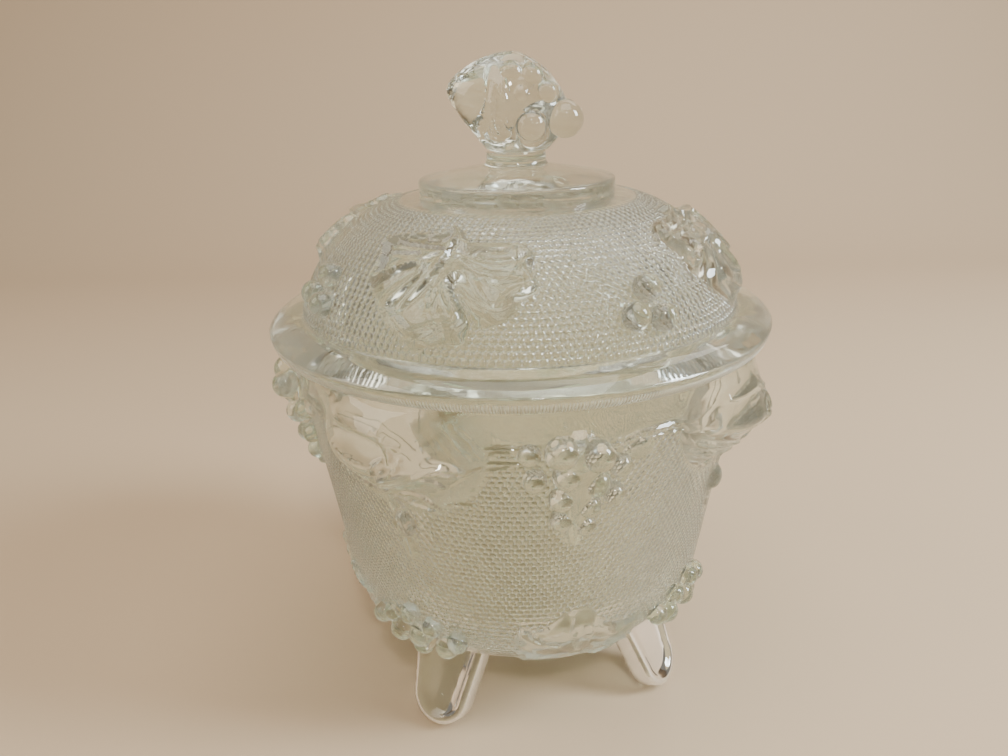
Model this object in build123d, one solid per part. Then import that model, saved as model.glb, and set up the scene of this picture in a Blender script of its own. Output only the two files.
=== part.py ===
from build123d import *
import os
from math import acos, atan, atan2, cos, degrees, hypot, radians, sin

# A covered dish of pressed glass: a footed bowl and a loose lid with a grape knob.
# Millimetres, +Z up, table at Z 0, dish axis on Z. Feet stand on the diagonals.
# Motifs are drawn at the front, on -Y, and turned about the axis.

# Bowl, heights from the table
DISH_HEIGHT = 99.0
UNDERSIDE_HEIGHT = 18.0
RIM_RADIUS = 58.5
UNDERSIDE_RADIUS = 46.0
CORNER_RADIUS = 24.0
WALL = 4.2
FLOOR = 5.0
RIM_ROUND = 1.0

# Lid, heights from the rim that it rests on
SEAT_OVERHANG = 2.3
BRIM_OVERHANG = 5.0
BRIM_WIDEST_RISE = 3.9
BRIM_TOP_RISE = 7.4
BRIM_BULGE = 1.2
BRIM_EDGE_BULGE = 0.7
DOME_SETBACK = 3.7
DOME_RISE = 26.2
DOME_BULGE = 6.5
LID_WALL = 4.0
LOCATING_RING_DEPTH = 3.0
LOCATING_RING_WIDTH = 3.2
LOCATING_CLEARANCE = 0.6

# Disc and neck under the knob
DISC_RADIUS = 24.3
DISC_EDGE_HEIGHT = 4.1
DISC_CROWN = 2.8
DISC_ROUND = 0.8
NECK_RADIUS = 7.3
NECK_HEIGHT = 3.0

# Knob: a bunch of grapes folded in a leaf. Outline across and above the neck, clockwise
KNOB_TURN = -13.2
KNOB_THICKNESS = 19.0
KNOB_OUTLINE = (
    (-6.4, 0.0),
    (-12.7, 7.7),
    (-16.3, 14.4),
    (-12.9, 19.0),
    (-6.9, 22.0),
    (0.0, 23.2),
    (6.0, 19.4),
    (9.5, 14.5),
    (11.5, 8.5),
    (9.5, 3.0),
    (6.4, 0.0),
)
# Across, above the neck, centre's depth behind the knob's face, radius
KNOB_GRAPES = (
    (4.0, 7.4, 3.2, 4.3),
    (12.4, 7.4, 6.4, 4.0),
    (9.2, 13.0, 5.6, 3.0),
    (5.4, 16.6, 5.2, 2.9),
    (0.4, 19.6, 6.2, 2.8),
    (-1.6, 13.6, 3.2, 3.0),
)

# Feet: four splayed tongues with a scooped outer face
FOOT_REACH = 46.9
FOOT_SPLAY = 24.0
FOOT_LENGTH = 27.0
FOOT_TOP_WIDTH = 20.0
FOOT_END_WIDTH = 16.5
FOOT_THICKNESS = 6.0
FOOT_PAD_DEPTH = 0.6
FOOT_RIM = 2.4
SCOOP_DEPTH = 1.2

# Upper bunches between the leaves: across, below the rim, radius
BUNCH_TURN = -1.4
BUNCH_TOP_PROUD = 4.6
BUNCH_TOP_DROP = 12.0
BUNCH_FADE = 24.0
BUNCH_HALF_WIDTH = 11.0
BUNCH_CORE_RADIUS = 5.6
BUNCH_CORE_TIP_RADIUS = 1.9
BUNCH_CORE_LENGTH = 22.0
BUNCH_GRAPES = (
    (-4.2, 9.0, 3.6),
    (3.0, 10.4, 3.6),
    (-10.2, 10.8, 2.6),
    (9.2, 15.2, 2.7),
    (-9.0, 17.0, 2.7),
    (-3.0, 14.9, 3.1),
    (3.4, 17.6, 3.1),
    (-3.6, 21.4, 2.8),
    (2.4, 23.8, 2.8),
    (8.2, 22.2, 2.6),
    (-3.2, 27.4, 2.6),
    (2.0, 29.4, 2.6),
)

# Upper leaves, turned a little from the feet: across and below the rim, clockwise from the top left
LEAF_TURN = 1.8
LEAF_CREST_PROUD = 8.0
LEAF_CREST_DROP = 13.5
LEAF_BALL_RADIUS = 23.0
LEAF_OUTLINE = (
    (-20.0, 8.0),
    (-12.0, 4.8),
    (0.0, 3.8),
    (9.0, 5.5),
    (14.0, 9.5),
    (15.5, 13.5),
    (11.5, 16.5),
    (9.5, 19.5),
    (13.0, 25.5),
    (8.5, 24.5),
    (5.5, 30.0),
    (0.5, 26.5),
    (-5.0, 23.0),
    (-10.0, 25.5),
    (-14.0, 21.5),
    (-19.5, 19.0),
    (-17.0, 14.5),
    (-22.5, 13.0),
)

# Foot bunches above each foot: across, above the underside, radius
FOOT_BUNCH_PROUD = 1.3
FOOT_GRAPES = (
    (-13.2, 15.0, 2.7),
    (-7.5, 18.5, 2.6),
    (-1.5, 20.5, 2.7),
    (4.5, 18.5, 2.6),
    (10.5, 15.0, 2.7),
    (-7.0, 12.6, 3.2),
    (0.0, 14.2, 3.2),
    (6.6, 11.8, 3.0),
    (-2.8, 8.0, 3.0),
)

# Lower leaves between the feet: across and above the underside, clockwise from the top left
LOW_LEAF_TURN = 2.0
LOW_LEAF_THICKNESS = 1.6
LOW_LEAF_REACH = 36.0
LOW_LEAF_OUTLINE = (
    (-14.0, 23.0),
    (-9.0, 21.0),
    (-4.5, 26.0),
    (2.3, 27.5),
    (6.0, 21.0),
    (12.0, 19.5),
    (18.5, 17.5),
    (14.0, 11.0),
    (15.0, 5.0),
    (8.0, 3.0),
    (3.0, -3.0),
    (-2.0, -3.0),
    (-8.0, 3.0),
    (-14.0, 5.0),
    (-12.0, 11.0),
    (-17.0, 17.0),
)

# Lid leaves with slots between their lobes: across and down the dome, clockwise from the stem
LID_LEAF_TURN = -33.7
LID_LEAF_MIDDLE = 25.0
LID_LEAF_HALF_LENGTH = 17.0
LID_LEAF_TOP_THICKNESS = 0.9
LID_LEAF_MIDDLE_THICKNESS = 2.2
LID_LEAF_LOW_THICKNESS = 3.1
LID_LEAF_OUTLINE = (
    (-1.1, 10.8),
    (1.4, 12.2),
    (3.4, 16.4),
    (9.0, 16.7),
    (15.0, 16.6),
    (16.4, 17.3),
    (9.4, 18.2),
    (9.4, 19.4),
    (17.6, 18.6),
    (18.7, 20.7),
    (17.9, 22.9),
    (20.2, 25.2),
    (21.0, 27.6),
    (16.9, 29.6),
    (16.3, 32.0),
    (14.2, 33.4),
    (11.8, 33.4),
    (8.0, 29.9),
    (6.0, 27.3),
    (4.4, 25.4),
    (3.0, 26.5),
    (6.1, 31.0),
    (7.5, 33.3),
    (7.0, 37.2),
    (3.0, 37.6),
    (-3.3, 39.7),
    (-7.4, 37.0),
    (-12.2, 33.0),
    (-8.0, 28.5),
    (-4.3, 25.1),
    (-5.4, 23.5),
    (-10.0, 27.2),
    (-15.0, 30.2),
    (-16.6, 28.3),
    (-15.3, 25.0),
    (-15.2, 21.9),
    (-5.6, 20.7),
    (-5.6, 19.3),
    (-16.2, 20.4),
    (-17.3, 18.8),
    (-15.2, 17.4),
    (-6.4, 16.7),
    (-6.4, 15.7),
    (-13.8, 16.0),
    (-12.6, 15.0),
    (-5.3, 14.2),
    (-2.0, 13.9),
)

# Lid bunches between the leaves: across, down the dome from the disc, radius
LID_BUNCH_TURN = 17.8
LID_BUNCH_PROUD = 1.0
LID_GRAPES = (
    (0.8, 29.6, 3.1),
    (-3.8, 35.0, 3.1),
    (3.0, 36.2, 3.1),
)

# The pattern repeats about the axis, with a bunch at the front and a foot half a step on
REPEATS = 4

# Places that follow from the sizes above
BRIM_RADIUS = RIM_RADIUS + BRIM_OVERHANG
SEAT_RADIUS = RIM_RADIUS + SEAT_OVERHANG
DOME_RADIUS = RIM_RADIUS - DOME_SETBACK
DOME_BASE_Z = DISH_HEIGHT + BRIM_TOP_RISE
DISC_LOW_Z = DOME_BASE_Z + DOME_RISE
DISC_EDGE_Z = DISC_LOW_Z + DISC_EDGE_HEIGHT
NECK_BASE_Z = DISC_EDGE_Z + DISC_CROWN
NECK_TOP_Z = NECK_BASE_Z + NECK_HEIGHT
FLOOR_Z = UNDERSIDE_HEIGHT + FLOOR
RING_RADIUS = RIM_RADIUS - WALL - LOCATING_CLEARANCE
RING_LOW_Z = DISH_HEIGHT - LOCATING_RING_DEPTH
WALL_SLOPE = (RIM_RADIUS - UNDERSIDE_RADIUS) / (DISH_HEIGHT - UNDERSIDE_HEIGHT)
STEP_ANGLE = 360.0 / REPEATS
FOOT_ANGLE = STEP_ANGLE / 2
CORNER_MIDDLE_RADIUS = UNDERSIDE_RADIUS + CORNER_RADIUS * (WALL_SLOPE - hypot(1, WALL_SLOPE))
CORNER_TOP_RISE = CORNER_RADIUS * (1 - sin(atan(WALL_SLOPE)))
# How far a cutting body runs past the glass that it cuts
MARGIN = 10.0


def wall_radius(z):
    """Outside radius of the bowl's straight wall at height z."""
    return RIM_RADIUS - (DISH_HEIGHT - z) * WALL_SLOPE


def dome_circle():
    """Radius and centre (r, z) of the arc that the dome's outside follows."""
    run = DOME_RADIUS - DISC_RADIUS
    chord = hypot(run, DOME_RISE)
    radius = (chord**2 / 4 + DOME_BULGE**2) / (2 * DOME_BULGE)
    inward = (radius - DOME_BULGE) / chord
    middle_r = (DOME_RADIUS + DISC_RADIUS) / 2
    middle_z = DOME_BASE_Z + DOME_RISE / 2
    return radius, middle_r - DOME_RISE * inward, middle_z - run * inward


DOME_ARC, DOME_CENTRE_R, DOME_CENTRE_Z = dome_circle()
DOME_TOP_ANGLE = atan2(DISC_LOW_Z - DOME_CENTRE_Z, DISC_RADIUS - DOME_CENTRE_R)
DOME_BASE_ANGLE = atan2(DOME_BASE_Z - DOME_CENTRE_Z, DOME_RADIUS - DOME_CENTRE_R)


def dome_point(down, lift=0.0):
    """Point (r, z) a length down the dome from the disc, lifted off the glass."""
    angle = DOME_TOP_ANGLE - down / DOME_ARC
    reach = DOME_ARC + lift
    return DOME_CENTRE_R + reach * cos(angle), DOME_CENTRE_Z + reach * sin(angle)


def revolved(*edges):
    """Solid of a closed (r, z) outline turned about the axis."""
    outline = [Plane.XZ * edge for edge in edges]
    return revolve(make_face(outline), Axis.Z)


def repeated(solid, first):
    """Copies of a front motif about the axis, the first one at an angle."""
    return [Rot(0, 0, first + STEP_ANGLE * i) * solid for i in range(REPEATS)]


def ball(radius, x, y, z):
    """A grape with its centre at a point and its poles front and back."""
    return Pos(x, y, z) * Rot(90, 0, 0) * Sphere(radius)


def on_wall(across, height, proud):
    """Point on the front wall, an arc length across, at a height and a distance off it."""
    angle = across / wall_radius(height)
    reach = wall_radius(height) + proud
    return reach * sin(angle), -reach * cos(angle), height


def on_corner(across, rise, proud):
    """Point on the bowl's front at a height above the underside, over its rounded corner or the wall."""
    if rise > CORNER_TOP_RISE:
        return on_wall(across, UNDERSIDE_HEIGHT + rise, proud)
    angle = acos(1 - rise / CORNER_RADIUS)
    reach = CORNER_MIDDLE_RADIUS + (CORNER_RADIUS + proud) * sin(angle)
    height = UNDERSIDE_HEIGHT + CORNER_RADIUS - (CORNER_RADIUS + proud) * cos(angle)
    turn = across / reach
    return reach * sin(turn), -reach * cos(turn), height


def bowl_outline(grow=0.0):
    """Outside of the bowl, grown by a thickness, as a solid of revolution."""
    middle = (0, UNDERSIDE_HEIGHT - grow)
    corner = (UNDERSIDE_RADIUS + grow, UNDERSIDE_HEIGHT - grow)
    rim = (RIM_RADIUS + grow, DISH_HEIGHT)
    top = (0, DISH_HEIGHT)
    side = FilletPolyline(middle, corner, rim, top, radius=[CORNER_RADIUS + grow, RIM_ROUND])
    return revolved(side, Line(top, middle))


def bowl_hollow():
    """Space inside the bowl, opened past the rim."""
    mouth = (RIM_RADIUS - WALL, DISH_HEIGHT)
    corner = (wall_radius(FLOOR_Z) - WALL, FLOOR_Z)
    middle = (0, FLOOR_Z)
    above = DISH_HEIGHT + MARGIN
    side = FilletPolyline(middle, corner, mouth, radius=CORNER_RADIUS - WALL)
    return revolved(side, Polyline(mouth, (mouth[0], above), (0, above), middle))


def foot():
    """One tongue at the front: a flat plate with a round end, scooped on its outer face."""
    half_top = FOOT_TOP_WIDTH / 2
    half_end = FOOT_END_WIDTH / 2
    left, right = (-half_end, half_end), (half_end, half_end)
    sides = Polyline(left, (-half_top, FOOT_LENGTH), (half_top, FOOT_LENGTH), right)
    outline = make_face([sides, ThreePointArc(right, (0, 0), left)])
    tilt = radians(FOOT_SPLAY)
    face = Plane(
        origin=(0, -FOOT_REACH, FOOT_THICKNESS * sin(tilt) - FOOT_PAD_DEPTH),
        x_dir=(1, 0, 0),
        z_dir=(0, -cos(tilt), sin(tilt)),
    )
    plate = face * extrude(outline, -FOOT_THICKNESS)
    scoop = face * extrude(offset(outline, -FOOT_RIM), -SCOOP_DEPTH)
    return split(plate - scoop, Plane.XY)


def upper_bunch():
    """Bunch of grapes at the front, on a tapered core that leans out towards the rim."""
    top_z = DISH_HEIGHT - BUNCH_TOP_DROP
    core_top = on_wall(0, top_z, 0)
    hanging = (Align.CENTER, Align.CENTER, Align.MAX)
    core = Cone(BUNCH_CORE_TIP_RADIUS, BUNCH_CORE_RADIUS, BUNCH_CORE_LENGTH, align=hanging)
    along_wall = Pos(*core_top) * Rot(degrees(atan(WALL_SLOPE)), 0, 0)
    parts = [along_wall * core, ball(BUNCH_CORE_RADIUS, *core_top)]
    for across, drop, radius in BUNCH_GRAPES:
        taper = 1 - max(0, drop - BUNCH_TOP_DROP) / BUNCH_FADE
        curve = 1 - (across / BUNCH_HALF_WIDTH) ** 2
        proud = BUNCH_TOP_PROUD * taper * curve
        parts.append(ball(radius, *on_wall(across, DISH_HEIGHT - drop, proud)))
    return parts


def upper_leaf():
    """Leaf at the front that swells off the wall, cut from a ball to its lobed outline."""
    crest_z = DISH_HEIGHT - LEAF_CREST_DROP
    centre = wall_radius(crest_z) + LEAF_CREST_PROUD - LEAF_BALL_RADIUS
    swell = ball(LEAF_BALL_RADIUS, 0, -centre, crest_z)
    points = [(x, DISH_HEIGHT - drop) for x, drop in LEAF_OUTLINE]
    outline = make_face(Polyline(*points, close=True))
    return swell & extrude(Plane.XZ * outline, RIM_RADIUS + LEAF_CREST_PROUD)


def foot_bunch():
    """Grapes spread over the bowl's corner above a foot, at the front."""
    return [ball(radius, *on_corner(x, rise, FOOT_BUNCH_PROUD)) for x, rise, radius in FOOT_GRAPES]


def low_leaf():
    """Thin leaf at the front that wraps the bowl's lower corner."""
    points = [(x, UNDERSIDE_HEIGHT + rise) for x, rise in LOW_LEAF_OUTLINE]
    outline = make_face(Polyline(*points, close=True))
    prism = extrude(Plane.XZ.offset(LOW_LEAF_REACH) * outline, RIM_RADIUS)
    return bowl_outline(LOW_LEAF_THICKNESS) & prism


def make_dish():
    """The footed bowl, with its leaves and bunches, as one pressing."""
    dish = bowl_outline() + repeated(foot(), FOOT_ANGLE)
    dish += repeated(upper_leaf(), FOOT_ANGLE + LEAF_TURN)
    dish += repeated(low_leaf(), LOW_LEAF_TURN)
    for piece in upper_bunch():
        dish += repeated(piece, BUNCH_TURN)
    for grape in foot_bunch():
        dish += repeated(grape, FOOT_ANGLE)
    return dish - bowl_hollow()


def lid_outline():
    """Outside of the lid's dome, disc, neck, brim and locating ring."""
    dome_middle = dome_point(DOME_ARC * (DOME_TOP_ANGLE - DOME_BASE_ANGLE) / 2)
    brim_edge_z = DISH_HEIGHT + BRIM_WIDEST_RISE
    neck_base, disc_low = (NECK_RADIUS, NECK_BASE_Z), (DISC_RADIUS, DISC_LOW_Z)
    neck = Polyline((0, NECK_TOP_Z), (NECK_RADIUS, NECK_TOP_Z), neck_base)
    disc = FilletPolyline(neck_base, (DISC_RADIUS, DISC_EDGE_Z), disc_low, radius=DISC_ROUND)
    dome = ThreePointArc(disc_low, dome_middle, (DOME_RADIUS, DOME_BASE_Z))
    brim = SagittaArc((DOME_RADIUS, DOME_BASE_Z), (BRIM_RADIUS, brim_edge_z), BRIM_BULGE)
    edge = SagittaArc((BRIM_RADIUS, brim_edge_z), (SEAT_RADIUS, DISH_HEIGHT), BRIM_EDGE_BULGE)
    seat = Polyline((SEAT_RADIUS, DISH_HEIGHT), (RING_RADIUS, DISH_HEIGHT), (RING_RADIUS, RING_LOW_Z))
    axis = Polyline((RING_RADIUS, RING_LOW_Z), (0, RING_LOW_Z), (0, NECK_TOP_Z))
    return revolved(neck, disc, dome, brim, edge, seat, axis)


def lid_hollow():
    """Space under the lid: inside the locating ring and a wall's thickness under the dome."""
    inside = DOME_ARC - LID_WALL
    roof_z = DOME_CENTRE_Z + inside
    ring_inner = RING_RADIUS - LOCATING_RING_WIDTH
    low_angle = acos((ring_inner - DOME_CENTRE_R) / inside)
    middle = (low_angle + radians(90)) / 2
    low = (ring_inner, DOME_CENTRE_Z + inside * sin(low_angle))
    high = (DOME_CENTRE_R, roof_z)
    via = (DOME_CENTRE_R + inside * cos(middle), DOME_CENTRE_Z + inside * sin(middle))
    rest = Polyline(high, (0, roof_z), (0, RING_LOW_Z - MARGIN), (ring_inner, RING_LOW_Z - MARGIN), low)
    return revolved(ThreePointArc(low, via, high), rest)


def lid_leaf():
    """Lobed leaf at the front of the dome, thin at its stem and thick at its lower lobes."""
    radius, z = dome_point(LID_LEAF_MIDDLE)
    angle = DOME_TOP_ANGLE - LID_LEAF_MIDDLE / DOME_ARC
    tangent = Plane(origin=(0, -radius, z), x_dir=(1, 0, 0), z_dir=(0, -cos(angle), sin(angle)))
    points = [(x, DOME_ARC * sin((LID_LEAF_MIDDLE - down) / DOME_ARC)) for x, down in LID_LEAF_OUTLINE]
    prism = tangent * extrude(make_face(Polyline(*points, close=True)), DOME_ARC / 2, both=True)
    high = dome_point(LID_LEAF_MIDDLE - LID_LEAF_HALF_LENGTH, LID_LEAF_TOP_THICKNESS)
    middle = dome_point(LID_LEAF_MIDDLE, LID_LEAF_MIDDLE_THICKNESS)
    low = dome_point(LID_LEAF_MIDDLE + LID_LEAF_HALF_LENGTH, LID_LEAF_LOW_THICKNESS)
    skin = revolved(ThreePointArc(high, middle, low), Polyline(low, (DOME_CENTRE_R, DOME_CENTRE_Z), high))
    return prism & skin


def lid_bunch():
    """Grapes at the front of the dome."""
    grapes = []
    for across, down, radius in LID_GRAPES:
        reach, z = dome_point(down, LID_BUNCH_PROUD)
        turn = across / reach
        grapes.append(ball(radius, reach * sin(turn), -reach * cos(turn), z))
    return grapes


def knob():
    """Grape bunch folded in a leaf: a rounded slab in the knob's outline, with grapes on both faces."""
    left = min(x for x, up in KNOB_OUTLINE)
    right = max(x for x, up in KNOB_OUTLINE)
    height = max(up for x, up in KNOB_OUTLINE)
    half = KNOB_THICKNESS / 2
    face = make_face([Spline(*KNOB_OUTLINE), Line(KNOB_OUTLINE[-1], KNOB_OUTLINE[0])])
    slab = extrude(Plane.XZ * face, half, both=True)
    plan = extrude(Pos((right + left) / 2, 0) * Ellipse((right - left) / 2, half), height)
    side = make_face(Spline((0, 0), (half, height / 2), (0, height), (-half, height / 2), periodic=True))
    body = slab & plan & extrude(Plane.YZ * side, right - left, both=True)
    for x, up, depth, radius in KNOB_GRAPES:
        body += [ball(radius, x, depth - half, up), ball(radius, x, half - depth, up)]
    return Pos(0, 0, NECK_TOP_Z) * Rot(0, 0, KNOB_TURN) * body


def make_lid():
    """The domed lid, with its leaves, bunches and knob, as one pressing."""
    lid = lid_outline() + repeated(lid_leaf(), LID_LEAF_TURN)
    for grape in lid_bunch():
        lid += repeated(grape, LID_BUNCH_TURN)
    lid += knob()
    return lid - lid_hollow()


def main():
    os.makedirs("parts", exist_ok=True)
    export_step(make_dish(), "parts/dish.step")
    export_step(make_lid(), "parts/lid.step")


if __name__ == "__main__":
    main()
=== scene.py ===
from math import atan2, cos, hypot, pi, radians, sin, tau
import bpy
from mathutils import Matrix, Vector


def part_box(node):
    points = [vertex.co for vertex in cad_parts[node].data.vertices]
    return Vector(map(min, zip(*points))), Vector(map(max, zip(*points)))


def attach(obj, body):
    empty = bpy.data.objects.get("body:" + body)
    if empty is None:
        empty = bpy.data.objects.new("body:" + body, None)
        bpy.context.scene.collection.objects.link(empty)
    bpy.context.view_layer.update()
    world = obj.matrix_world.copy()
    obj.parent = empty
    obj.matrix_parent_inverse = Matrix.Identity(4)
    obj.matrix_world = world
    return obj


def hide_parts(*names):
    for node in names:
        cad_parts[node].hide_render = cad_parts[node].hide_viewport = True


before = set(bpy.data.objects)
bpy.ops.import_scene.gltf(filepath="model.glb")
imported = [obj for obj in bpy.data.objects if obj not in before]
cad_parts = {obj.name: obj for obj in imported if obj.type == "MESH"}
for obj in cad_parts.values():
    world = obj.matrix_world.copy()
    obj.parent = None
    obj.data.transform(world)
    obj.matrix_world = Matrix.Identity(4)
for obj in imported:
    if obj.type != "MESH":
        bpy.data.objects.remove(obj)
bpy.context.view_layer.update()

from types import SimpleNamespace

import bpy
import numpy as np
from bpy.props import FloatProperty, FloatVectorProperty, PointerProperty
from mathutils import Matrix, Vector

# Lengths are worked out in millimetres and written to the meshes in metres.
# Azimuths are counted from the front, -Y, and grow towards +X.

bl_info = {
    "name": "Covered Glass Dish",
    "version": (1, 0, 0),
    "blender": (4, 5, 0),
    "location": "View3D > Sidebar > Glass Dish",
    "description": "Builds a footed dish of pressed glass and its domed lid",
    "category": "Object",
}

MM = 0.001
DISH_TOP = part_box("dish")[1].z / MM
BRIM_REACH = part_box("lid")[1].x / MM

# The relief comes round four times
REPEATS = 4
FOOT_AZIMUTH = 45.0
# How far the photographed view is turned from the front
VIEW_TURN = 13.2


def length(name, description, mm):
    """A length in millimetres."""
    return FloatProperty(name=name, description=description, default=mm * MM, unit="LENGTH", precision=4)


def number(name, description, default, least=0.0, most=1.0):
    """A plain number."""
    return FloatProperty(name=name, description=description, default=default, min=least, max=most)


def paint(name, description, default):
    """A colour."""
    return FloatVectorProperty(name=name, description=description, subtype="COLOR", size=3, default=default)


def in_mm(settings):
    """The lengths of a property group, in millimetres."""
    names = [key for key, kind in settings.bl_rna.properties.items() if kind.type == "FLOAT"]
    return SimpleNamespace(**{name: getattr(settings, name) / MM for name in names})


class DishSizes(bpy.types.PropertyGroup):
    rim_radius: length("Rim radius", "Outside radius of the bowl at its rim", 58.5)
    underside_height: length("Underside height", "Height of the flat underside above the table", 18.0)
    underside_radius: length("Underside radius", "Radius where the wall would meet the underside", 46.0)
    corner_radius: length("Corner radius", "Radius of the bowl's lower corner", 24.0)
    wall: length("Wall", "Thickness of the wall", 4.2)
    floor: length("Floor", "Thickness of the floor", 5.0)
    leaf_swell: length("Leaf swell", "Swell of the upper leaves off the wall", 8.8)
    bunch_swell: length("Bunch swell", "Swell of the upper bunches off the wall", 4.4)
    foot_reach: length("Foot reach", "Distance of a toe from the axis", 46.9)
    foot_length: length("Foot length", "Length of a foot along its face", 27.0)
    foot_thickness: length("Foot thickness", "Thickness of a foot", 6.0)
    pebble_row: length("Pebble row", "Distance between rows of pebbles", 1.3)
    pebble_height: length("Pebble height", "Height of a pebble", 0.18)


class LidSizes(bpy.types.PropertyGroup):
    dome_radius: length("Dome radius", "Radius of the dome at its foot", 54.8)
    dome_bulge: length("Dome bulge", "Bulge of the dome past a straight cone", 6.5)
    wall: length("Wall", "Thickness of the dome", 4.0)
    disc_radius: length("Disc radius", "Radius of the disc under the knob", 24.3)
    neck_radius: length("Neck radius", "Radius of the neck under the knob", 7.3)
    leaf_thickness: length("Leaf thickness", "Height of the leaves at their middle", 2.2)
    knob_thickness: length("Knob thickness", "Thickness of the knob from front to back", 19.0)
    pebble_row: length("Pebble row", "Distance between rows of pebbles", 1.45)
    pebble_height: length("Pebble height", "Height of a pebble", 0.3)


class GlassLook(bpy.types.PropertyGroup):
    tint: paint("Tint", "Colour of the glass", (0.86, 0.91, 0.82))
    roughness: number("Roughness", "Dullness of the surface", 0.03)
    # The whitish surface mixed into the glass: painted highlight in the grooves between pebbles and on the
    # ribs, standing in for the bright lines that refraction gives them, and the colour of the even haze
    highlight_and_haze_colour: paint("Frost colour", "Colour of the frosted grooves", (0.9, 0.92, 0.86))
    # How much painted highlight goes into the grooves
    painted_highlight: number("Frost", "Frosting of the grooves", 0.3)
    haze: number("Haze", "Haze over all the glass", 0.015)
    ior: number("IOR", "Refractive index of the glass", 1.52, 1.0, 2.0)


class StageLook(bpy.types.PropertyGroup):
    floor: paint("Floor", "Colour of the floor and backdrop", (0.53, 0.395, 0.26))
    light: number("Light", "Power of all the softboxes", 27.0, most=1000.0)


# Mesh code


def wrapped(azimuth, turn):
    """Azimuth from the nearest copy of a motif."""
    step = tau / REPEATS
    return (azimuth - radians(turn) + step / 2) % step - step / 2


def smooth_step(value, low, high):
    """A smooth rise from 0 at low to 1 at high."""
    share = np.clip((value - low) / (high - low), 0, 1)
    return share * share * (3 - 2 * share)


def bell(distance, width):
    """1 at distance 0, fading over a width."""
    return np.exp(-((distance / width) ** 2))


def rounded(points, times=2, closed=True):
    """An outline with its corners cut smooth."""
    points = np.array(points, float)
    for _ in range(times):
        following = np.roll(points, -1, 0)
        near, far = 0.75 * points + 0.25 * following, 0.25 * points + 0.75 * following
        cut = np.stack([near, far], 1).reshape(-1, 2)
        points = cut if closed else np.vstack([points[:1], cut[1:-3], points[-1:]])
    return points


def to_line(x, y, points):
    """Distance to a line through points."""
    best = np.full(x.shape, np.inf)
    for (ax, ay), (bx, by) in zip(points[:-1], points[1:]):
        dx, dy = bx - ax, by - ay
        share = np.clip(((x - ax) * dx + (y - ay) * dy) / (dx * dx + dy * dy + 1e-12), 0, 1)
        best = np.minimum(best, np.hypot(x - ax - share * dx, y - ay - share * dy))
    return best


def to_curve(x, y, points):
    """Distance to a line with its corners cut smooth."""
    return to_line(x, y, rounded(points, closed=False))


def to_outline(x, y, points):
    """Distance to a closed outline, positive inside it."""
    inside = np.zeros(x.shape, bool)
    for (ax, ay), (bx, by) in zip(points, np.roll(points, -1, 0)):
        crosses = (ay > y) != (by > y)
        inside ^= crosses & (x < ax + (y - ay) * (bx - ax) / (by - ay + 1e-12))
    distance = to_line(x, y, np.vstack([points, points[:1]]))
    return np.where(inside, distance, -distance)


def arc(centre, radius, start, end, step=0.5):
    """Points on an arc in (r, z), between angles in radians."""
    count = max(2, int(abs(end - start) * radius / step) + 1)
    angles = np.linspace(start, end, count)
    return np.stack([centre[0] + radius * np.cos(angles), centre[1] + radius * np.sin(angles)], 1)


def bulged(start, end, bulge, step=0.4):
    """Points on an arc in (r, z) that bulges to the right of its way."""
    start, end = np.array(start, float), np.array(end, float)
    half = np.hypot(*(end - start)) / 2
    share = np.linspace(-1, 1, max(3, int(2 * half / step)))
    radius = (half**2 + bulge**2) / (2 * bulge)
    lift = np.sqrt(radius**2 - (share * half) ** 2) - (radius - bulge)
    ahead = (end - start) / (2 * half)
    aside = np.array([ahead[1], -ahead[0]])
    return (start + end) / 2 + np.outer(share * half, ahead) + np.outer(lift, aside)


# Half the length over which a section's direction is taken
NEARBY = 0.12


class Outline:
    """A section in (r, z) from the axis round the glass and back to the axis."""

    def __init__(self, *pieces):
        points = np.vstack([np.atleast_2d(piece) for piece in pieces])
        steps = np.hypot(*np.diff(points, axis=0).T)
        keep = np.concatenate([[True], steps > 1e-6])
        self.points = points[keep]
        self.along = np.concatenate([[0], np.cumsum(np.hypot(*np.diff(self.points, axis=0).T))])

    def at(self, along):
        """r, z and the outward direction at lengths along the section."""
        ahead = np.minimum(along + NEARBY, self.along[-1])
        behind = np.maximum(along - NEARBY, 0)
        (r, z), (ahead_r, ahead_z), (behind_r, behind_z) = (
            [np.interp(places, self.along, column) for column in self.points.T]
            for places in (along, ahead, behind)
        )
        dr, dz = ahead_r - behind_r, ahead_z - behind_z
        size = np.hypot(dr, dz) + 1e-12
        return r, z, dz / size, -dr / size

    def nearest(self, r, z):
        """Length along the section to the point nearest (r, z)."""
        return self.along[np.argmin(np.hypot(self.points[:, 0] - r, self.points[:, 1] - z))]


def turned(outline, stretches, relief):
    """Points and faces of a section turned about the axis, raised by a relief.

    A stretch is the lengths of its rings along the section, and their columns."""
    rings = [(0.0, 1)]
    for places, columns in stretches:
        rings += [(along, columns) for along in places]
    rings.append((outline.along[-1], 1))
    azimuth = np.concatenate([np.arange(columns) * tau / columns for _, columns in rings])
    along = np.concatenate([np.full(columns, place) for place, columns in rings])
    r, z, out_r, out_z = outline.at(along)
    at = SimpleNamespace(azimuth=azimuth, along=along, r=r, z=z, out_r=out_r, out_z=out_z)
    height = relief(at)
    r, z = r + out_r * height, z + out_z * height
    points = np.stack([r * np.sin(azimuth), -r * np.cos(azimuth), z], 1)
    faces = []
    start = 0
    for (_, low), (_, high) in zip(rings[:-1], rings[1:]):
        faces += strip(start, low, start + low, high)
        start += low
    return points, faces


def evenly(start, end, spacing):
    """Lengths after a start and up to an end, about a spacing apart."""
    return np.linspace(start, end, max(1, round((end - start) / spacing)) + 1)[1:]


def ridges(x, y, lines, width, trim=(0, 0, 1)):
    """Height, 0 to 1, of ridges along lines. A trim (share, place, width) steepens their sides."""
    height = np.zeros(x.shape)
    share, place, trim_width = trim
    for line in lines:
        away = to_curve(x, y, line)
        height = np.maximum(height, bell(away, width) - share * bell(away - place, trim_width))
    return height


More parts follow.
